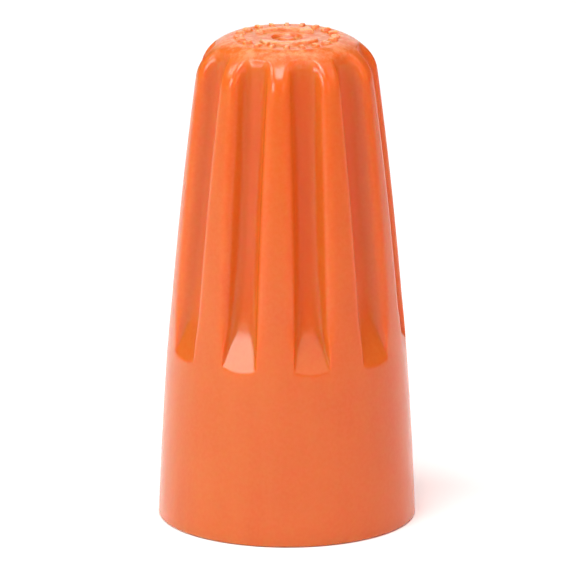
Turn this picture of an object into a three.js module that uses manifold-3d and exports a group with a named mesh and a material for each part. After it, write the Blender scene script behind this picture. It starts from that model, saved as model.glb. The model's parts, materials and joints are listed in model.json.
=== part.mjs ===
// Twist-on wire connector: a fluted polypropylene shell with a conical spring of square steel wire inside.
// Millimetres. +Z points to the closed end. The origin is the centre of the mouth rim, which it stands on.
import * as THREE from "three";
import { mergeVertices, toCreasedNormals } from "three/addons/utils/BufferGeometryUtils.js";
import Module from "manifold-3d";

const wasm = await Module();
wasm.setup();

// Shell, outside
const HEIGHT = 22.25; // mouth rim to crown face
const MOUTH_RADIUS = 5.85;
const SHOULDER_Z = 20.6; // where the tapered side turns into the crown's round shoulder
const SHOULDER_RADIUS = 4.16;
const SHOULDER_HANDLE = 0.65; // shares of the corner's two sides that shape its curve
const CROWN_HANDLE = 0.2;
const SIDE_BULGE_RADIUS = 5.49; // where the side's tangents at the mouth and at the shoulder meet
const CROWN_FLAT_RADIUS = 2.5;
const RIM_EDGE = 0.1; // broken edge outside the mouth

// Shell, inside
const BORE_RIM_RADIUS = 4.9;
const BORE_LEAD_IN = 0.3; // height of the chamfer inside the mouth
const BORE_MOUTH_RADIUS = 4.72;
const FUNNEL = { z: 5.4, radius: 4.55 }; // the straight skirt bore ends and the funnel starts
const ROUNDNESS = 0.5523; // handle length that makes a Bezier corner round
const LIP = { z: 6.75, radius: 3.93, height: 0.35 }; // the spring snaps in behind it
const SEAT_START = { z: 7.35, radius: 4.22 }; // conical spring seat
const SEAT_END = { z: 19.7, radius: 2.75 };
const SEAT_TOP_Z = 20.35;

// Flutes: straight-sided channels between the grip ribs
const FLUTE_COUNT = 10;
const FLUTE_PHASE = THREE.MathUtils.degToRad(12.3); // first flute, counted from -Y towards +X
const FLUTE_HALF_WIDTH = 0.84; // at the side's surface, the same all the way down
const FLUTE_WALL_SLOPE = 0.57; // run of each wall for one unit of depth
const FLUTE_FOOT_Z = 7.88; // where the floor runs out into the smooth skirt
const FLOOR_TOP = { z: 24, radius: 3.054 }; // above the crown, so that the floor cuts right through
const FLOOR_BEND = { z: 15.2, radius: 3.951 }; // the straight floor starts to flare
const FLOOR_FLARE = { z: 10.21, radius: 4.46 }; // where the tangents of the flare meet
const FLOOR_RAMP = { z: 9.15, radius: 4.9 }; // top of the ramp at the foot
const CUTTER_DEPTH = 1.2; // the walls carry on past the floor to this depth
const CUTTER_REACH = 1.5; // and this far out of the surface
const CUTTER_WIDTH = 6; // wider than the channel at its widest

// Raised marks on the crown
const MARK_HEIGHT = 0.12;
const MARK_ROOT = 0.4; // sunk into the crown
const ARROW_COUNT = 2;
const ARROW_RADIUS = 1.45;
const ARROW_HALF_WIDTH = 0.17;
const ARROW_START = THREE.MathUtils.degToRad(150);
const ARROW_NECK = THREE.MathUtils.degToRad(62);
const ARROW_TIP = THREE.MathUtils.degToRad(34);
const ARROW_HEAD_HALF_WIDTH = 0.4;
const TICK_COUNT = 20; // a ring of short bars round the arrows
const TICK_RADIUS = 2.18;
const TICK_LENGTH = 0.4;
const TICK_WIDTH = 0.2;
const GATE_PIP_RADIUS = 0.3;
const GATE_DIMPLE_RADIUS = 0.72;
const GATE_DIMPLE_DEPTH = 0.14;
const GATE_PIP_DROP = 0.03; // the pip stays under the crown face
const GATE_DRAFT = 0.08;

// Spring
const WIRE_SIDE = 0.85; // square steel wire, wound on edge
const SPRING_TURNS = 7.7;
const SPRING_START = { z: 8.05, radius: 3.46 }; // centre line of the wire
const SPRING_END = { z: 19.05, radius: 1.78 };
const SPRING_START_ANGLE = THREE.MathUtils.degToRad(-60);
const STEPS_PER_TURN = 32;

// Facets
const LATHE_SEGMENTS = 120; // a multiple of the flutes, so that every rib is the same
const SIDE_STEPS = 6;
const CORNER_STEPS = 8;
const ARC_STEPS = 8;
const MERGE_DISTANCE = 1e-4;
const CREASE_ANGLE = THREE.MathUtils.degToRad(28);

// A closed three.js geometry as a solid that can be joined and cut.
function solidFrom(geometry) {
  const bare = geometry.clone();
  bare.deleteAttribute("normal");
  bare.deleteAttribute("uv");
  const merged = mergeVertices(bare, MERGE_DISTANCE);
  const mesh = new wasm.Mesh({
    numProp: 3,
    vertProperties: merged.attributes.position.array,
    triVerts: new Uint32Array(merged.index.array),
  });
  return new wasm.Manifold(mesh);
}

// A solid as a three.js geometry.
function geometryFrom(solid) {
  const { vertProperties, triVerts } = solid.getMesh();
  const geometry = new THREE.BufferGeometry();
  geometry.setAttribute("position", new THREE.BufferAttribute(vertProperties, 3));
  geometry.setIndex(new THREE.BufferAttribute(triVerts, 1));
  return geometry;
}

// Turns a profile of (radius, z) points about Z.
function turned(points) {
  return new THREE.LatheGeometry(points, LATHE_SEGMENTS).rotateX(Math.PI / 2);
}

// Outer profile from the rim's flat up the side and over the shoulder to the crown's flat.
function outerProfile() {
  const side = new THREE.Path();
  side.moveTo(MOUTH_RADIUS, RIM_EDGE);
  side.quadraticCurveTo(SIDE_BULGE_RADIUS, SHOULDER_Z / 2, SHOULDER_RADIUS, SHOULDER_Z);

  const rise = HEIGHT - SHOULDER_Z;
  const lean = (SIDE_BULGE_RADIUS - SHOULDER_RADIUS) / (SHOULDER_Z / 2);
  const corner = SHOULDER_RADIUS - lean * rise; // where the side would meet the crown's plane
  const shoulder = new THREE.Path();
  shoulder.moveTo(SHOULDER_RADIUS, SHOULDER_Z);
  shoulder.bezierCurveTo(
    SHOULDER_RADIUS - lean * rise * SHOULDER_HANDLE,
    SHOULDER_Z + rise * SHOULDER_HANDLE,
    CROWN_FLAT_RADIUS + (corner - CROWN_FLAT_RADIUS) * CROWN_HANDLE,
    HEIGHT,
    CROWN_FLAT_RADIUS,
    HEIGHT,
  );
  return [
    new THREE.Vector2(MOUTH_RADIUS - RIM_EDGE, 0),
    ...side.getPoints(SIDE_STEPS),
    ...shoulder.getPoints(CORNER_STEPS).slice(1),
  ];
}

// The moulding gate: a shallow dimple in the crown with a pip that stays under the crown's face.
function gateProfile() {
  const floor = HEIGHT - GATE_DIMPLE_DEPTH;
  return [
    new THREE.Vector2(GATE_DIMPLE_RADIUS, HEIGHT),
    new THREE.Vector2(GATE_DIMPLE_RADIUS - GATE_DRAFT, floor),
    new THREE.Vector2(GATE_PIP_RADIUS + GATE_DRAFT, floor),
    new THREE.Vector2(GATE_PIP_RADIUS, HEIGHT - GATE_PIP_DROP),
    new THREE.Vector2(0, HEIGHT - GATE_PIP_DROP),
  ];
}

// Inner profile from the blind top of the spring seat down to the rim's flat.
function innerProfile() {
  const top = new THREE.Path();
  top.moveTo(0, SEAT_TOP_Z);
  top.lineTo(SEAT_END.radius / 2, SEAT_TOP_Z);
  top.quadraticCurveTo(SEAT_END.radius, SEAT_TOP_Z, SEAT_END.radius, SEAT_END.z);

  const funnel = new THREE.Path();
  funnel.moveTo(LIP.radius, LIP.z);
  funnel.bezierCurveTo(
    LIP.radius, LIP.z - (LIP.z - FUNNEL.z) * ROUNDNESS,
    FUNNEL.radius, FUNNEL.z + (LIP.z - FUNNEL.z) * ROUNDNESS,
    FUNNEL.radius, FUNNEL.z,
  );
  return [
    ...top.getPoints(ARC_STEPS / 2),
    new THREE.Vector2(SEAT_START.radius, SEAT_START.z),
    new THREE.Vector2(LIP.radius, LIP.z + LIP.height),
    ...funnel.getPoints(CORNER_STEPS),
    new THREE.Vector2(BORE_MOUTH_RADIUS, BORE_LEAD_IN),
    new THREE.Vector2(BORE_RIM_RADIUS, 0),
  ];
}

// The channel between two flute walls, which close in as they go deeper. It follows the side's slope at X+.
function fluteWalls() {
  const foot = new THREE.Vector3(sideRadius(FLUTE_FOOT_Z), 0, FLUTE_FOOT_Z);
  const shoulder = new THREE.Vector3(SHOULDER_RADIUS, 0, SHOULDER_Z);
  const along = shoulder.clone().sub(foot).normalize();
  const tangent = new THREE.Vector3(0, -1, 0);
  const outward = new THREE.Vector3().crossVectors(along, tangent);

  const inner = FLUTE_HALF_WIDTH - CUTTER_DEPTH * FLUTE_WALL_SLOPE;
  const outer = FLUTE_HALF_WIDTH + CUTTER_REACH * FLUTE_WALL_SLOPE;
  const section = new THREE.Shape([
    new THREE.Vector2(-inner, -CUTTER_DEPTH),
    new THREE.Vector2(inner, -CUTTER_DEPTH),
    new THREE.Vector2(outer, CUTTER_REACH),
    new THREE.Vector2(-outer, CUTTER_REACH),
  ]);
  const start = foot.clone().addScaledVector(along, -CUTTER_DEPTH);
  const length = (FLOOR_TOP.z - start.z) / along.z;
  const placed = new THREE.Matrix4().makeBasis(tangent, outward, along).setPosition(start);
  return new THREE.ExtrudeGeometry(section, { depth: length, bevelEnabled: false }).applyMatrix4(placed);
}

// Everything outside the flute's floor, as a slab in the XZ plane.
function fluteFloor() {
  const foot = sideRadius(FLUTE_FOOT_Z);
  const reach = MOUTH_RADIUS + CUTTER_REACH;
  const ramp = (foot - FLOOR_RAMP.radius) / (FLOOR_RAMP.z - FLUTE_FOOT_Z);
  const outline = new THREE.Shape();
  outline.moveTo(FLOOR_TOP.radius, FLOOR_TOP.z);
  outline.lineTo(FLOOR_BEND.radius, FLOOR_BEND.z);
  outline.quadraticCurveTo(FLOOR_FLARE.radius, FLOOR_FLARE.z, FLOOR_RAMP.radius, FLOOR_RAMP.z);
  outline.lineTo(reach, FLUTE_FOOT_Z - (reach - foot) / ramp);
  outline.lineTo(reach, FLOOR_TOP.z);
  outline.closePath();
  const options = { depth: CUTTER_WIDTH, bevelEnabled: false, curveSegments: CORNER_STEPS };
  return new THREE.ExtrudeGeometry(outline, options).translate(0, 0, -CUTTER_WIDTH / 2).rotateX(Math.PI / 2);
}

// Radius of the shell's side at height z.
function sideRadius(z) {
  const t = z / SHOULDER_Z;
  const bulge = 2 * t * (1 - t) * SIDE_BULGE_RADIUS;
  return MOUTH_RADIUS * (1 - t) ** 2 + bulge + SHOULDER_RADIUS * t ** 2;
}

// A curved arrow, flat in the crown's plane, that points the way the connector is tightened.
function twistArrow() {
  const inner = ARROW_RADIUS - ARROW_HALF_WIDTH;
  const outer = ARROW_RADIUS + ARROW_HALF_WIDTH;
  const at = (radius, angle) => [radius * Math.cos(angle), radius * Math.sin(angle)];
  const outline = new THREE.Shape();
  outline.moveTo(...at(outer, ARROW_START));
  outline.absarc(0, 0, outer, ARROW_START, ARROW_NECK, true);
  outline.lineTo(...at(ARROW_RADIUS + ARROW_HEAD_HALF_WIDTH, ARROW_NECK));
  outline.lineTo(...at(ARROW_RADIUS, ARROW_TIP));
  outline.lineTo(...at(ARROW_RADIUS - ARROW_HEAD_HALF_WIDTH, ARROW_NECK));
  outline.absarc(0, 0, inner, ARROW_NECK, ARROW_START, false);
  outline.closePath();
  const options = { depth: MARK_ROOT + MARK_HEIGHT, bevelEnabled: false, curveSegments: ARC_STEPS };
  return new THREE.ExtrudeGeometry(outline, options).translate(0, 0, HEIGHT - MARK_ROOT);
}

// A short radial bar at X+, raised on the crown.
function tick() {
  const depth = MARK_ROOT + MARK_HEIGHT;
  const middle = HEIGHT + MARK_HEIGHT - depth / 2;
  return new THREE.BoxGeometry(TICK_LENGTH, TICK_WIDTH, depth).translate(TICK_RADIUS, 0, middle);
}

// The moulded shell: one turned body, less its flutes, with the marks raised on its crown.
function shellGeometry() {
  let shell = solidFrom(turned([...innerProfile(), ...outerProfile(), ...gateProfile()]));

  const flute = geometryFrom(solidFrom(fluteWalls()).intersect(solidFrom(fluteFloor())));
  for (let i = 0; i < FLUTE_COUNT; i++) {
    const azimuth = FLUTE_PHASE - Math.PI / 2 + (i * 2 * Math.PI) / FLUTE_COUNT;
    shell = shell.subtract(solidFrom(flute.clone().rotateZ(azimuth)));
  }
  for (let i = 0; i < ARROW_COUNT; i++) {
    const arrow = twistArrow().rotateZ((i * 2 * Math.PI) / ARROW_COUNT);
    shell = shell.add(solidFrom(arrow));
  }
  for (let i = 0; i < TICK_COUNT; i++) {
    shell = shell.add(solidFrom(tick().rotateZ((i * 2 * Math.PI) / TICK_COUNT)));
  }
  return geometryFrom(shell);
}

// The centre line of the wire: a right-hand helix that narrows towards the closed end. Its frames keep
// one diagonal of the wire's section pointing straight at the axis.
class ConicalHelix extends THREE.Curve {
  getPoint(t, target = new THREE.Vector3()) {
    const angle = SPRING_START_ANGLE + t * SPRING_TURNS * 2 * Math.PI;
    const radius = THREE.MathUtils.lerp(SPRING_START.radius, SPRING_END.radius, t);
    const z = THREE.MathUtils.lerp(SPRING_START.z, SPRING_END.z, t);
    return target.set(radius * Math.cos(angle), radius * Math.sin(angle), z);
  }

  computeFrenetFrames(segments) {
    const frames = { tangents: [], normals: [], binormals: [] };
    for (let i = 0; i <= segments; i++) {
      const tangent = this.getTangentAt(i / segments);
      const normal = this.getPointAt(i / segments).setZ(0).normalize();
      normal.addScaledVector(tangent, -normal.dot(tangent)).normalize();
      frames.tangents.push(tangent);
      frames.normals.push(normal);
      frames.binormals.push(new THREE.Vector3().crossVectors(tangent, normal));
    }
    return frames;
  }
}

function springGeometry() {
  const corner = WIRE_SIDE / Math.SQRT2;
  const section = new THREE.Shape([
    new THREE.Vector2(corner, 0),
    new THREE.Vector2(0, corner),
    new THREE.Vector2(-corner, 0),
    new THREE.Vector2(0, -corner),
  ]);
  const steps = Math.round(SPRING_TURNS * STEPS_PER_TURN);
  return new THREE.ExtrudeGeometry(section, { steps, extrudePath: new ConicalHelix() });
}

const orangePolypropylene = new THREE.MeshStandardMaterial({
  color: 0xe87038,
  roughness: 0.42,
  metalness: 0,
});
const platedSteel = new THREE.MeshStandardMaterial({ color: 0xb9bcc0, roughness: 0.32, metalness: 1 });

function namedMesh(name, geometry, material) {
  const mesh = new THREE.Mesh(toCreasedNormals(geometry, CREASE_ANGLE), material);
  mesh.name = name;
  return mesh;
}

const connector = new THREE.Group();
connector.add(namedMesh("insulating_shell", shellGeometry(), orangePolypropylene));
connector.add(namedMesh("gripping_spring", springGeometry(), platedSteel));

export default connector;
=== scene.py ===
"""Twist-on wire connector: the fine surfaces, materials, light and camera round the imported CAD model.

Shape constants are in millimetres, as in the CAD model, and become metres when a mesh is made.
The connector stands on its mouth at the origin with its closed end towards +Z, and -Y faces the camera.
"""

import json
import math

import bpy
import numpy as np
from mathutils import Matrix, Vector


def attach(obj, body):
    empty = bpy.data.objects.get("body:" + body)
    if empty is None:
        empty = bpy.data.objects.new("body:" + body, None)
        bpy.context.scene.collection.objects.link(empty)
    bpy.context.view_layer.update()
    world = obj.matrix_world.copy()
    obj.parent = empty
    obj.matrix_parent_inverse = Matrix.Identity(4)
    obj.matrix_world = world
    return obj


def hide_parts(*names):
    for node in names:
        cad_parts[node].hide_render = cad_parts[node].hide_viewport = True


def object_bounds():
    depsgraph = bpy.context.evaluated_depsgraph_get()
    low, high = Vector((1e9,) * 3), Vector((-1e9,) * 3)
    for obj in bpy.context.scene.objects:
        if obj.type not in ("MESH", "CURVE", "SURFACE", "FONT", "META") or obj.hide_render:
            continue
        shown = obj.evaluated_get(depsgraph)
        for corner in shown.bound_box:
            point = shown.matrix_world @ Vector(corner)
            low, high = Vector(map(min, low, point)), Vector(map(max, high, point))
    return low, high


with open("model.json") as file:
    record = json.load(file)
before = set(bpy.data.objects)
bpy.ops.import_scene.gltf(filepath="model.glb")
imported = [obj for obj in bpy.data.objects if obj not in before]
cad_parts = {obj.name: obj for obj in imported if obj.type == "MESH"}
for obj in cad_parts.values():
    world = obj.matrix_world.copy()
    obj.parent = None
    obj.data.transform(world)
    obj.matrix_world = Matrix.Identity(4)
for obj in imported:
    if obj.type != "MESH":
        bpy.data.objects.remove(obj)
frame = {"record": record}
cad_low, cad_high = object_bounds()

MM = 0.001
MOUNTS = {mount["name"]: mount for mount in frame["record"]["mounts"]}

# Outside of the shell
MOUTH_RADIUS = cad_high.y / MM
CROWN_Z = MOUNTS["crown_face"]["pos_m"][2] / MM
SHOULDER_Z = 20.6
SHOULDER_RADIUS = 4.16
SHOULDER_HANDLE = 0.65
CROWN_HANDLE = 0.2
SIDE_BULGE_RADIUS = 5.49
SIDE_LEAN = (SIDE_BULGE_RADIUS - SHOULDER_RADIUS) / (SHOULDER_Z / 2)
CROWN_FLAT_RADIUS = 2.5
RIM_EDGE = 0.1

# Flutes
FLUTE_COUNT = 10
FLUTE_PHASE = math.radians(12.3)
FLUTE_HALF_WIDTH = 0.84
FLUTE_WALL_SLOPE = 0.57
FLUTE_FOOT_Z = 7.88
FLOOR_TOP = (3.054, 24.0)
FLOOR_BEND = (3.951, 15.2)
FLOOR_FLARE = (4.46, 10.21)
FLOOR_RAMP = (4.9, 9.15)
RAMP_OVERRUN = 2.5  # how far the ramp's line carries on past the foot, in lengths of the ramp
FLOOR_FILLET = 0.28
RIB_FILLET = 0.34
CRISP_FILLET = 0.05
FOOT_BLEND = (0.7, 2.5)  # heights over the foot between which the fillets grow to their full width
CROWN_BLEND = (0.6, 0.2)  # depths under the crown between which they turn crisp again

# Marks on the crown
MARK_HEIGHT = 0.12
MARK_EDGE = 0.07
ARROW_COUNT = 2
ARROW_RADIUS = 1.45
ARROW_HALF_WIDTH = 0.17
ARROW_START = math.radians(150)
ARROW_NECK = math.radians(62)
ARROW_TIP = math.radians(34)
ARROW_HEAD_HALF_WIDTH = 0.4
TICK_COUNT = 20
TICK_RADIUS = 2.18
TICK_LENGTH = 0.4
TICK_WIDTH = 0.2
GATE_PIP_RADIUS = 0.3
GATE_DIMPLE_RADIUS = 0.72
GATE_DIMPLE_DEPTH = 0.14
GATE_PIP_DROP = 0.03
GATE_EDGE = 0.1

# Inside of the shell: (radius, z, corner radius) from the blind end to the rim
BORE_CORNERS = [
    (0.0, 20.35, 0.0),
    (2.45, 20.35, 0.9),
    (4.22, 7.35, 0.12),
    (3.93, 7.1, 0.12),
    (3.93, 6.5, 0.5),
    (4.55, 5.4, 0.5),
    (4.72, 0.3, 0.12),
    (4.9, 0.0, 0.08),
]

# Spring
WIRE_SIDE = 0.85
WIRE_CORNER = 0.09
SPRING_TURNS = 7.7
SPRING_START = (3.46, 8.05)
SPRING_END = (1.78, 19.05)
SPRING_START_ANGLE = math.radians(-60)
CUT_END_SIZE = 0.9

# Mesh rows. SIDE_STRETCHES has the height that each stretch of the side reaches and how many rows it has.
RIM_ROWS = 5
SIDE_STRETCHES = [(7.0, 15), (7.7, 7), (8.1, 20), (9.7, 21), (SHOULDER_Z, 49)]
SHOULDER_ROWS = 38
CROWN_ROWS = 54
CROWN_TIP_RADIUS = 0.04
FLARE_POINTS = 40
BORE_ROW_STEP = 1.2
BORE_CORNER_ROWS = 6
RINGS_PER_TURN = 90

# Mesh columns, for half a flute and half a rib
FLOOR_COLUMNS = 5
WALL_COLUMNS = 8
RIB_COLUMNS = 6
NARROWEST_WALL = math.radians(1)
EVEN_RADII = (3.0, 2.6)  # the columns follow the flutes down to the first and are even inside the second

# Search for the outside along each ray, between two shares of the ray's length
SEARCH_FROM = 0.3
SEARCH_TO = 1.05
BISECTIONS = 30
RAY_START_DROP = 1.1  # the crown's rays start this far under the shoulder

# Most values of a noise texture lie between these
NOISE_LOW = 0.3
NOISE_HIGH = 0.7

# Colours of the shell
DEEP_ORANGE = (0.51, 0.094, 0.0085, 1)
BRIGHT_ORANGE = (0.53, 0.112, 0.0115, 1)
# Painted shade: the deeper, redder colour of the flutes' hollows, standing in for shade and light bounced
# inside them
FLUTE_SHADE_ORANGE = (0.59, 0.076, 0.008, 1)
FLOW_ORANGE = (0.54, 0.127, 0.015, 1)
GRAIN_ORANGE = (0.55, 0.145, 0.024, 1)
# Painted sheen: the paler colour of the crown's top, standing in for light reflected off its face
CROWN_SHEEN_ORANGE = (0.64, 0.31, 0.14, 1)
RUBBED_ORANGE = (0.66, 0.38, 0.21, 1)

# Colours of the spring
DULL_ZINC = (0.56, 0.56, 0.55, 1)
BRIGHT_ZINC = (0.68, 0.67, 0.64, 1)
DIE_LINE_GREY = (0.36, 0.35, 0.34, 1)


# ---------------------------------------------------------------- camera, stage and lights


def look_at(thing, target):
    """Turns a camera or a light so that it faces target."""
    direction = Vector(target) - thing.location
    thing.rotation_euler = direction.to_track_quat("-Z", "Y").to_euler()


def make_camera():
    """A long lens that looks down a little on the connector."""
    distance = 0.4
    elevation = math.radians(15.16)
    target = MM * Vector((0.05, 0.0, 10.536))
    data = bpy.data.cameras.new("camera")
    data.sensor_width = 36
    data.lens = 551
    data.clip_start = 0.01
    data.clip_end = 50
    camera = bpy.data.objects.new("camera", data)
    bpy.context.scene.collection.objects.link(camera)
    camera.location = target + distance * Vector((0, -math.cos(elevation), math.sin(elevation)))
    look_at(camera, target)
    bpy.context.scene.camera = camera


def softbox(name, azimuth, elevation, size, radiance, distance=0.3, colour=(1, 1, 1)):
    """A square area light that faces the middle of the connector.

    azimuth and elevation are in degrees, azimuth from the camera's side towards +X. radiance is how brightly
    the light's face glows. size and distance are in metres.
    """
    turn, rise = math.radians(azimuth), math.radians(elevation)
    data = bpy.data.lights.new(name, "AREA")
    data.shape = "SQUARE"
    data.size = size
    data.energy = radiance * math.pi * size**2
    data.color = colour
    light = bpy.data.objects.new(name, data)
    bpy.context.scene.collection.objects.link(light)
    level = distance * math.cos(rise)
    light.location = (level * math.sin(turn), -level * math.cos(turn), distance * math.sin(rise))
    look_at(light, (0, 0, CROWN_Z * MM / 2))


def make_lights():
    softbox("key_softbox", -6, 66, size=0.14, radiance=10.8)
    softbox("left_softbox", -42, 25, size=0.115, radiance=9.9)
    softbox("left_wing", -85, 48, size=0.12, radiance=6.8)
    softbox("right_wing", 85, 48, size=0.12, radiance=1.8)
    softbox("side_fill", -80, 25, size=0.2, radiance=0.35, colour=(1.0, 0.8, 0.3))
    softbox("front_fill", 27, 24, size=0.11, radiance=2.0)
    softbox("right_fill", 60, 30, size=0.2, radiance=2.5, colour=(1.0, 0.2, 0.12))
    softbox("top_softbox", 180, 80, size=0.25, radiance=1.4)
    softbox("backdrop", 180, 18, size=0.4, radiance=0.85, distance=0.6)
    world = bpy.data.worlds.new("studio")
    world.use_nodes = True
    background = world.node_tree.nodes["Background"]
    background.inputs["Color"].default_value = (1, 1, 1, 1)
    background.inputs["Strength"].default_value = 0.08
    bpy.context.scene.world = world
    bpy.context.scene.view_settings.view_transform = "Standard"
    bpy.context.scene.view_settings.look = "None"


def make_floor():
    """A pale matt floor, just under the rim so that the two don't share a plane."""
    half = 2.0
    gap = 0.02 * MM
    mesh = bpy.data.meshes.new("floor")
    corners = [(-half, -half, 0), (half, -half, 0), (half, half, 0), (-half, half, 0)]
    mesh.from_pydata(corners, [], [(0, 1, 2, 3)])
    floor = bpy.data.objects.new("floor", mesh)
    bpy.context.scene.collection.objects.link(floor)
    floor.location.z = -gap
    material = bpy.data.materials.new("pale_floor")
    material.use_nodes = True
    shader = material.node_tree.nodes["Principled BSDF"]
    shader.inputs["Base Color"].default_value = (0.92, 0.92, 0.92, 1)
    shader.inputs["Roughness"].default_value = 0.9
    mesh.materials.append(material)


# ---------------------------------------------------------------- shapes


def quadratic(a, b, c, t):
    """Point at t of the quadratic Bezier curve a, b, c."""
    t = np.asarray(t, float)[..., None]
    a, b, c = (np.array(p, float) for p in (a, b, c))
    return a * (1 - t) ** 2 + 2 * b * t * (1 - t) + c * t**2


def cubic(a, b, c, d, t):
    """Point at t of the cubic Bezier curve a, b, c, d."""
    t = np.asarray(t, float)[..., None]
    a, b, c, d = (np.array(p, float) for p in (a, b, c, d))
    return a * (1 - t) ** 3 + 3 * b * t * (1 - t) ** 2 + 3 * c * t**2 * (1 - t) + d * t**3


def smooth_max(a, b, width):
    """The larger of a and b, rounded where they are within width of each other."""
    near = np.maximum(width - np.abs(a - b), 0) / width
    return np.maximum(a, b) + near**2 * width / 4


def smooth_min(a, b, width):
    return -smooth_max(-a, -b, width)


def smooth_step(low, high, value):
    t = np.clip((value - low) / (high - low), 0, 1)
    return t * t * (3 - 2 * t)


def side_radius(z):
    """Radius of the shell's bulged side at height z, carried on straight above the shoulder."""
    t = np.minimum(z / SHOULDER_Z, 1)
    bulge = 2 * t * (1 - t) * SIDE_BULGE_RADIUS
    above = np.maximum(z - SHOULDER_Z, 0) * SIDE_LEAN
    return MOUTH_RADIUS * (1 - t) ** 2 + bulge + SHOULDER_RADIUS * t**2 - above


def floor_line():
    """(radius, z) points down the flute's floor, from above the crown to past the foot."""
    foot = np.array((side_radius(FLUTE_FOOT_Z), FLUTE_FOOT_Z))
    flare = quadratic(FLOOR_BEND, FLOOR_FLARE, FLOOR_RAMP, np.linspace(0, 1, FLARE_POINTS))
    beyond = foot + RAMP_OVERRUN * (foot - np.array(FLOOR_RAMP))
    return np.vstack([FLOOR_TOP, flare, foot, beyond])


FLOOR_LINE = floor_line()[::-1]


def floor_radius(z):
    """How far the flute's floor is from the axis at height z."""
    return np.interp(z, FLOOR_LINE[:, 1], FLOOR_LINE[:, 0])


def fillet_size(full, z):
    """A fillet's width at height z: crisp at the flute's foot and where the flute runs out at the crown."""
    above_foot = smooth_step(FLUTE_FOOT_Z + FOOT_BLEND[0], FLUTE_FOOT_Z + FOOT_BLEND[1], z)
    below_crown = 1 - smooth_step(CROWN_Z - CROWN_BLEND[0], CROWN_Z - CROWN_BLEND[1], z)
    return CRISP_FILLET + (full - CRISP_FILLET) * above_foot * below_crown


def flute_depth_at(across, outward, z):
    """Distance inside the flute's channel, positive in the open channel and negative in the plastic."""
    step = 0.05
    slope = (floor_radius(z + step) - floor_radius(z - step)) / (2 * step)
    over_floor = (outward - floor_radius(z)) / np.sqrt(1 + slope**2)
    surface = np.sqrt(side_radius(z) ** 2 - FLUTE_HALF_WIDTH**2)
    half_width = FLUTE_HALF_WIDTH - FLUTE_WALL_SLOPE * (surface - outward)
    inside_walls = (half_width - np.abs(across)) / math.hypot(1, FLUTE_WALL_SLOPE)
    return smooth_min(over_floor, inside_walls, fillet_size(FLOOR_FILLET, z))


def outer_rows():
    """Rows up the outside: a base point, its outward normal and the inner point that its rays start from.

    Every row is (radius, z, normal radius, normal z, start radius, start z).
    """
    turn = np.linspace(0, math.pi / 2, RIM_ROWS)
    rim_radius = MOUTH_RADIUS - RIM_EDGE * (1 - np.sin(turn))
    rim = np.stack([rim_radius, RIM_EDGE * (1 - np.cos(turn))], axis=1)

    heights = []
    low = RIM_EDGE
    for high, count in SIDE_STRETCHES:
        heights.append(np.linspace(low, high, count + 1)[1:])
        low = high
    z = np.concatenate(heights)[:-1]
    side = np.stack([side_radius(z), z], axis=1)

    rise = CROWN_Z - SHOULDER_Z
    corner = SHOULDER_RADIUS - SIDE_LEAN * rise
    t = np.linspace(0, 1, SHOULDER_ROWS)
    shoulder = cubic(
        (SHOULDER_RADIUS, SHOULDER_Z),
        (SHOULDER_RADIUS - SIDE_LEAN * rise * SHOULDER_HANDLE, SHOULDER_Z + rise * SHOULDER_HANDLE),
        (CROWN_FLAT_RADIUS + (corner - CROWN_FLAT_RADIUS) * CROWN_HANDLE, CROWN_Z),
        (CROWN_FLAT_RADIUS, CROWN_Z),
        t,
    )
    radii = np.linspace(CROWN_FLAT_RADIUS, CROWN_TIP_RADIUS, CROWN_ROWS)[1:]
    crown = np.stack([radii, np.full_like(radii, CROWN_Z)], axis=1)

    points = np.vstack([rim, side, shoulder, crown])
    along = np.gradient(points, axis=0)
    normals = np.stack([along[:, 1], -along[:, 0]], axis=1)
    normals /= np.linalg.norm(normals, axis=1, keepdims=True)

    blend = smooth_step(0, 1, t)[:, None]
    low_start = np.array((0.0, SHOULDER_Z))
    high_start = np.array((CROWN_FLAT_RADIUS, SHOULDER_Z - RAY_START_DROP))
    starts = np.vstack(
        [
            np.stack([np.zeros(len(rim)), rim[:, 1]], axis=1),
            np.stack([np.zeros(len(side)), side[:, 1]], axis=1),
            low_start + (high_start - low_start) * blend,
            np.stack([radii, np.full_like(radii, high_start[1])], axis=1),
        ]
    )
    return np.hstack([points, normals, starts])


def bore_rows():
    """(radius, z) points down the inside, from the blind end to the rim, with its corners rounded."""
    most_reach = 0.49
    points = [np.array([[0.0, BORE_CORNERS[0][1]]])]
    for before, here, after in zip(BORE_CORNERS, BORE_CORNERS[1:], BORE_CORNERS[2:]):
        corner = np.array(here[:2])
        back = np.array(before[:2]) - corner
        ahead = np.array(after[:2]) - corner
        back_length, ahead_length = np.linalg.norm(back), np.linalg.norm(ahead)
        reach = min(here[2], most_reach * back_length, most_reach * ahead_length)
        start = corner + back / back_length * reach
        end = corner + ahead / ahead_length * reach
        last = points[-1][-1]
        steps = 1 + int(np.linalg.norm(start - last) / BORE_ROW_STEP)
        straight = np.linspace(0, 1, steps + 1)[1:-1, None]
        points.append(last + (start - last) * straight)
        points.append(quadratic(start, corner, end, np.linspace(0, 1, BORE_CORNER_ROWS)))
    points.append(np.array([BORE_CORNERS[-1][:2]]))
    return np.vstack(points)[1:]


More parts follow.
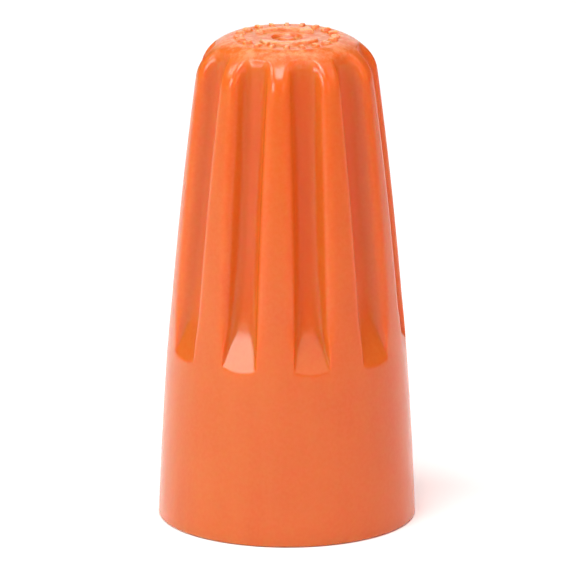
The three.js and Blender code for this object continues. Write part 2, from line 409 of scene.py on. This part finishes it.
def column_azimuths(z):
    """Azimuths round the shell for a row at height z, closest together on the flutes' walls and edges."""
    z = min(max(z, FLUTE_FOOT_Z), SHOULDER_Z)
    surface = math.sqrt(side_radius(z) ** 2 - FLUTE_HALF_WIDTH**2)
    floor_half = FLUTE_HALF_WIDTH - FLUTE_WALL_SLOPE * (surface - floor_radius(z))
    floor_edge = math.atan2(floor_half, floor_radius(z))
    wall_top = max(math.atan2(FLUTE_HALF_WIDTH, surface), floor_edge + NARROWEST_WALL)
    rib_centre = math.pi / FLUTE_COUNT
    on_floor = floor_edge * np.sin(np.linspace(0, math.pi / 2, FLOOR_COLUMNS + 1))
    on_wall = np.linspace(floor_edge, wall_top, WALL_COLUMNS + 1)[1:]
    turn = np.linspace(math.pi / 2, 0, RIB_COLUMNS + 1)[1:]
    on_rib = rib_centre - (rib_centre - wall_top) * np.sin(turn)
    half = np.concatenate([on_floor, on_wall, on_rib])
    pitch = np.concatenate([-half[:0:-1], half[:-1]])
    centres = FLUTE_PHASE - math.pi / 2 + np.arange(FLUTE_COUNT) * 2 * rib_centre
    return (centres[:, None] + pitch[None, :]).ravel()


def arrow_inset(x, y):
    """Distance inside the outline of the nearest twist arrow, in the crown's plane."""
    share = 2 * math.pi / ARROW_COUNT
    radius = np.hypot(x, y)
    middle = (ARROW_START + ARROW_TIP) / 2
    angle = (np.arctan2(y, x) - middle + share / 2) % share - share / 2 + middle
    shaft = np.minimum.reduce(
        [
            ARROW_HALF_WIDTH - np.abs(radius - ARROW_RADIUS),
            (ARROW_START - angle) * radius,
            (angle - ARROW_NECK) * radius + ARROW_HALF_WIDTH,
        ]
    )
    length = (ARROW_NECK - ARROW_TIP) * ARROW_RADIUS
    ahead = (angle - ARROW_TIP) * radius
    side = (ahead * ARROW_HEAD_HALF_WIDTH / length - np.abs(radius - ARROW_RADIUS)) * length
    side /= math.hypot(length, ARROW_HEAD_HALF_WIDTH)
    head = np.minimum(side, (ARROW_NECK - angle) * radius)
    return np.maximum(shaft, head)


def tick_inset(x, y):
    """Distance inside the outline of the nearest tick of the ring round the arrows."""
    share = 2 * math.pi / TICK_COUNT
    radius = np.hypot(x, y)
    angle = (np.arctan2(y, x) + share / 2) % share - share / 2
    from_ends = TICK_LENGTH / 2 - np.abs(radius - TICK_RADIUS)
    from_sides = TICK_WIDTH / 2 - np.abs(angle) * radius
    return np.minimum(from_ends, from_sides)


def mark_height(x, y):
    """Height of the raised arrows and ticks over the crown's flat face."""
    inset = np.maximum(arrow_inset(x, y), tick_inset(x, y))
    return MARK_HEIGHT * smooth_step(-MARK_EDGE / 2, MARK_EDGE / 2, inset)


def crown_relief(x, y):
    """Height of everything moulded on the crown's flat face: the marks, and the gate's dimple and pip."""
    radius = np.hypot(x, y)
    dimple = GATE_DIMPLE_DEPTH * (1 - smooth_step(-GATE_EDGE, 0, radius - GATE_DIMPLE_RADIUS))
    pip_height = GATE_DIMPLE_DEPTH - GATE_PIP_DROP
    pip = pip_height * (1 - smooth_step(0, GATE_EDGE, radius - GATE_PIP_RADIUS))
    return mark_height(x, y) - dimple + pip


def outer_surface():
    """Points on the fluted outside, one ring of columns for each row.

    Also how deep each lies in a flute, and how far it is raised on a mark of the crown.
    """
    rows = outer_rows()
    azimuth = np.array([column_azimuths(row[1]) for row in rows])
    even = azimuth[0, 0] + np.arange(azimuth.shape[1]) * 2 * math.pi / azimuth.shape[1]
    on_top = (rows[:, 1] > SHOULDER_Z)[:, None]
    evenness = np.where(on_top, smooth_step(*EVEN_RADII[::-1], rows[:, 0:1]), 1)
    azimuth = even + (azimuth - even) * evenness
    base, normal, start = rows[:, None, 0:2], rows[:, None, 2:4], rows[:, None, 4:6]
    pitch = 2 * math.pi / FLUTE_COUNT
    from_flute = (azimuth - FLUTE_PHASE + math.pi / 2 + pitch / 2) % pitch - pitch / 2

    def outside(share):
        """Positive outside the fluted shell, at this share of the way along each point's ray."""
        point = start + (base - start) * share[..., None]
        over_base = ((point - base) * normal).sum(axis=-1)
        across = point[..., 0] * np.sin(from_flute)
        outward = point[..., 0] * np.cos(from_flute)
        in_flute = flute_depth_at(across, outward, point[..., 1])
        return smooth_max(over_base, in_flute, fillet_size(RIB_FILLET, point[..., 1]))

    low = np.full(azimuth.shape, SEARCH_FROM)
    high = np.full(azimuth.shape, SEARCH_TO)
    for _ in range(BISECTIONS):
        middle = (low + high) / 2
        is_out = outside(middle) > 0
        high = np.where(is_out, middle, high)
        low = np.where(is_out, low, middle)
    share = (low + high) / 2
    point = start + (base - start) * share[..., None]
    depth = np.linalg.norm(base - start, axis=-1) * (1 - share)
    x = point[..., 0] * np.cos(azimuth)
    y = point[..., 0] * np.sin(azimuth)
    on_crown = on_top & (rows[:, 0:1] < CROWN_FLAT_RADIUS)
    z = point[..., 1] + np.where(on_crown, crown_relief(x, y), 0)
    raised = np.where(on_crown, mark_height(x, y), 0)
    return np.stack([x, y, z], axis=-1), depth, raised


def grid_faces(rings, columns):
    """Quads between neighbouring rings of points."""
    ring = np.arange(rings - 1)[:, None] * columns
    here = np.arange(columns)[None, :]
    ahead = (here + 1) % columns
    quads = np.stack([ring + here, ring + ahead, ring + columns + ahead, ring + columns + here], axis=-1)
    return quads.reshape(-1, 4).tolist()


def fan_faces(ring_first, columns, tip, flipped):
    """Triangles from a ring of points to one tip."""
    here = np.arange(columns)
    ahead = (here + 1) % columns
    sides = (ahead, here) if flipped else (here, ahead)
    return [(ring_first + int(a), ring_first + int(b), tip) for a, b in zip(*sides)]


def make_object(name, vertices, faces, material):
    """A smooth-shaded mesh object from points in millimetres."""
    mesh = bpy.data.meshes.new(name)
    mesh.from_pydata((np.asarray(vertices) * MM).tolist(), [], faces)
    mesh.polygons.foreach_set("use_smooth", [True] * len(mesh.polygons))
    mesh.materials.append(material)
    mesh.update()
    mesh.validate()
    thing = bpy.data.objects.new(name, mesh)
    bpy.context.scene.collection.objects.link(thing)
    return thing


def add_attribute(thing, name, values):
    """One number for each vertex, for the material to read."""
    attribute = thing.data.attributes.new(name, "FLOAT", "POINT")
    attribute.data.foreach_set("value", np.asarray(values, np.float32).ravel())


def make_shell(material):
    """The moulded shell: the bore from its blind end to the rim, then the fluted outside up to the crown."""
    outside, depth, raised = outer_surface()
    columns = outside.shape[1]
    bore = bore_rows()
    azimuth = column_azimuths(0)
    inside = np.stack(
        [
            bore[:, None, 0] * np.cos(azimuth),
            bore[:, None, 0] * np.sin(azimuth),
            np.broadcast_to(bore[:, None, 1], (len(bore), columns)),
        ],
        axis=-1,
    )
    rings = np.concatenate([inside, outside])
    blind_tip = (0, 0, BORE_CORNERS[0][1])
    crown_tip = (0, 0, CROWN_Z + float(crown_relief(0.0, 0.0)))
    vertices = np.vstack([rings.reshape(-1, 3), [blind_tip, crown_tip]])
    count = len(rings) * columns
    faces = grid_faces(len(rings), columns)
    faces += fan_faces(0, columns, count, flipped=True)
    faces += fan_faces(count - columns, columns, count + 1, flipped=False)
    shell = make_object("shell", vertices, faces, material)

    outer = slice(len(bore) * columns, count)
    for name, values, elsewhere in (("flute_depth", depth, -1.0), ("raised_mark", raised, 0.0)):
        everywhere = np.full(len(vertices), elsewhere)
        everywhere[outer] = values.ravel()
        add_attribute(shell, name, everywhere)
    return shell


def make_spring(material):
    """Square wire wound on edge into a right-hand cone, with its cut ends a little rounded."""
    corner = WIRE_SIDE / math.sqrt(2)
    inset = WIRE_CORNER * (math.sqrt(2) - 1)
    section = []
    for quarter in range(4):
        turn = quarter * math.pi / 2
        centre = (corner - inset - WIRE_CORNER) * np.array((math.cos(turn), math.sin(turn)))
        for bend in np.radians((-45, -15, 15, 45)):
            section.append(centre + WIRE_CORNER * np.array((math.cos(turn + bend), math.sin(turn + bend))))
    section = np.array(section)

    share = np.linspace(0, 1, int(SPRING_TURNS * RINGS_PER_TURN) + 1)
    angle = SPRING_START_ANGLE + share * SPRING_TURNS * 2 * math.pi
    radius = SPRING_START[0] + (SPRING_END[0] - SPRING_START[0]) * share
    z = SPRING_START[1] + (SPRING_END[1] - SPRING_START[1]) * share
    centre = np.stack([radius * np.cos(angle), radius * np.sin(angle), z], axis=1)
    tangent = np.gradient(centre, axis=0)
    tangent /= np.linalg.norm(tangent, axis=1, keepdims=True)
    radial = np.stack([np.cos(angle), np.sin(angle), np.zeros_like(angle)], axis=1)
    radial -= tangent * (radial * tangent).sum(axis=1, keepdims=True)
    radial /= np.linalg.norm(radial, axis=1, keepdims=True)
    upward = np.cross(tangent, radial)

    size = np.ones(len(share))
    size[[0, -1]] = CUT_END_SIZE
    rings = (
        centre[:, None]
        + section[None, :, :1] * radial[:, None] * size[:, None, None]
        + section[None, :, 1:] * upward[:, None] * size[:, None, None]
    )
    columns = len(section)
    faces = grid_faces(len(rings), columns)
    faces.append(list(range(columns))[::-1])
    faces.append([len(share) * columns - columns + i for i in range(columns)])
    spring = make_object("spring", rings.reshape(-1, 3), faces, material)

    length = np.concatenate([[0], np.cumsum(np.linalg.norm(np.diff(centre, axis=0), axis=1))])
    add_attribute(spring, "along_wire", np.repeat(length, columns))
    add_attribute(spring, "round_wire", np.tile(np.arange(columns) / columns, len(share)))
    return spring


# ---------------------------------------------------------------- materials


class Shader:
    """A material's node tree with a Principled BSDF, and short calls that add to it."""

    def __init__(self, name):
        self.material = bpy.data.materials.new(name)
        self.material.use_nodes = True
        self.tree = self.material.node_tree
        self.bsdf = self.tree.nodes["Principled BSDF"]

    def node(self, kind, inputs=None, **settings):
        node = self.tree.nodes.new(kind)
        for key, value in settings.items():
            setattr(node, key, value)
        for key, value in (inputs or {}).items():
            if isinstance(value, bpy.types.NodeSocket):
                self.tree.links.new(value, node.inputs[key])
            else:
                node.inputs[key].default_value = value
        return node

    def noise(self, vector, scale, detail, roughness=0.5):
        inputs = {"Vector": vector, "Scale": scale, "Detail": detail, "Roughness": roughness}
        return self.node("ShaderNodeTexNoise", inputs).outputs["Fac"]

    def stretched(self, vector, scale):
        return self.node("ShaderNodeMapping", {"Vector": vector, "Scale": scale}).outputs["Vector"]

    def remap(self, value, from_low, from_high, to_low, to_high):
        """A value moved from one range to another, and held at its ends."""
        inputs = {
            "Value": value, "From Min": from_low, "From Max": from_high,
            "To Min": to_low, "To Max": to_high,
        }
        return self.node("ShaderNodeMapRange", inputs).outputs["Result"]

    def math(self, operation, a, b):
        return self.node("ShaderNodeMath", {0: a, 1: b}, operation=operation).outputs["Value"]

    def mix(self, share, a, b):
        """Colour a, with this share of colour b. A Mix node's colours are inputs 6 and 7, and output 2."""
        node = self.node("ShaderNodeMix", {6: a, 7: b}, data_type="RGBA")
        self.tree.links.new(share, node.inputs["Factor"])
        return node.outputs[2]

    def bump(self, height, strength, distance, normal=None):
        inputs = {"Height": height, "Strength": strength, "Distance": distance}
        if normal is not None:
            inputs["Normal"] = normal
        return self.node("ShaderNodeBump", inputs).outputs["Normal"]

    def connect(self, **inputs):
        for key, value in inputs.items():
            socket = self.bsdf.inputs[key.replace("_", " ")]
            if isinstance(value, bpy.types.NodeSocket):
                self.tree.links.new(value, socket)
            else:
                socket.default_value = value


def shell_plastic():
    """Semi-gloss orange polypropylene, a little translucent.

    It has cloudy colour, flow marks along the shell and fine grain. The flutes are painted deeper and
    redder, a painted shade that is deepest where they are deepest. The crown's top is painted paler in
    patches, a painted sheen of light, and its marks are paler where they are rubbed. The roughness stays
    under 0.27 everywhere, because a surface that crosses that value renders with specks.
    """
    shader = Shader("orange_polypropylene")
    place = shader.node("ShaderNodeTexCoord").outputs["Object"]
    height = shader.node("ShaderNodeSeparateXYZ", {"Vector": place}).outputs["Z"]
    depth = shader.node("ShaderNodeAttribute", attribute_name="flute_depth").outputs["Fac"]
    raised = shader.node("ShaderNodeAttribute", attribute_name="raised_mark").outputs["Fac"]
    cloudy = shader.noise(place, scale=260, detail=2)
    flow = shader.noise(shader.stretched(place, (1, 1, 0.12)), scale=1500, detail=3)
    grain = shader.noise(place, scale=6000, detail=2)
    patches = shader.noise(place, scale=1700, detail=4, roughness=0.7)

    colour = shader.mix(shader.remap(cloudy, NOISE_LOW, NOISE_HIGH, 0, 1), DEEP_ORANGE, BRIGHT_ORANGE)
    colour = shader.mix(shader.remap(flow, 0.35, 0.75, 0, 0.5), colour, FLOW_ORANGE)
    colour = shader.mix(shader.remap(grain, 0.35, 0.65, 0, 0.3), colour, GRAIN_ORANGE)
    # Painted shade: the flutes are painted deeper and redder the deeper they are, like shade and bounced
    # light in a hollow
    colour = shader.mix(shader.remap(depth, 0.4, 0.9, 0, 0.7), colour, FLUTE_SHADE_ORANGE)

    on_mark = shader.remap(raised, 0.05, MARK_HEIGHT, 0, 1)
    rubbed = shader.math("MULTIPLY", on_mark, shader.remap(grain, 0.35, 0.6, 0.1, 0.75))
    colour = shader.mix(rubbed, colour, RUBBED_ORANGE)

    # Painted sheen: the top of the crown is painted paler in patches, a painted reflection of light on its
    # face
    on_crown = shader.remap(height, 21.5 * MM, 22.1 * MM, 0, 1)
    crown_sheen = shader.math("MULTIPLY", on_crown, shader.remap(patches, 0.42, 0.62, 0, 0.6))
    colour = shader.mix(crown_sheen, colour, CROWN_SHEEN_ORANGE)

    cloudy_roughness = shader.remap(cloudy, NOISE_LOW, NOISE_HIGH, 0.195, 0.245)
    grain_roughness = shader.remap(grain, NOISE_LOW, NOISE_HIGH, -0.02, 0.025)
    roughness = shader.math("ADD", cloudy_roughness, grain_roughness)
    normal = shader.bump(flow, strength=0.15, distance=0.04 * MM)
    normal = shader.bump(cloudy, strength=0.25, distance=0.15 * MM, normal=normal)
    shader.connect(Base_Color=colour, Roughness=roughness, Normal=normal)
    shader.connect(IOR=1.49, Specular_IOR_Level=0.4)
    shader.connect(Subsurface_Weight=1.0, Subsurface_Scale=1.2 * MM, Subsurface_Radius=(1.0, 0.15, 0.05))
    return shader.material


def spring_steel():
    """Zinc-plated drawn wire, dull in patches, with die lines along it."""
    shader = Shader("plated_spring_steel")
    place = shader.node("ShaderNodeTexCoord").outputs["Object"]
    along = shader.node("ShaderNodeAttribute", attribute_name="along_wire").outputs["Fac"]
    around = shader.node("ShaderNodeAttribute", attribute_name="round_wire").outputs["Fac"]
    slow_along = shader.math("MULTIPLY", along, 0.4)
    wire = shader.node("ShaderNodeCombineXYZ", {"X": slow_along, "Y": around}).outputs["Vector"]
    lines = shader.noise(shader.stretched(wire, (1, 60, 1)), scale=1, detail=4, roughness=0.6)
    patches = shader.noise(place, scale=900, detail=3)

    colour = shader.mix(shader.remap(patches, NOISE_LOW, NOISE_HIGH, 0, 1), DULL_ZINC, BRIGHT_ZINC)
    colour = shader.mix(shader.remap(lines, 0.55, 0.75, 0, 0.35), colour, DIE_LINE_GREY)
    patch_roughness = shader.remap(patches, NOISE_LOW, NOISE_HIGH, 0.32, 0.4)
    line_roughness = shader.remap(lines, NOISE_LOW, NOISE_HIGH, -0.03, 0.1)
    roughness = shader.math("ADD", patch_roughness, line_roughness)
    normal = shader.bump(lines, strength=0.3, distance=0.02 * MM)
    shader.connect(Base_Color=colour, Roughness=roughness, Normal=normal)
    shader.connect(Metallic=1.0)
    return shader.material


# ---------------------------------------------------------------- the scene

make_camera()
make_floor()
make_lights()

shell = make_shell(shell_plastic())
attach(shell, "root")
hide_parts("insulating_shell")

spring = make_spring(spring_steel())
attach(spring, "root")
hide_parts("gripping_spring")
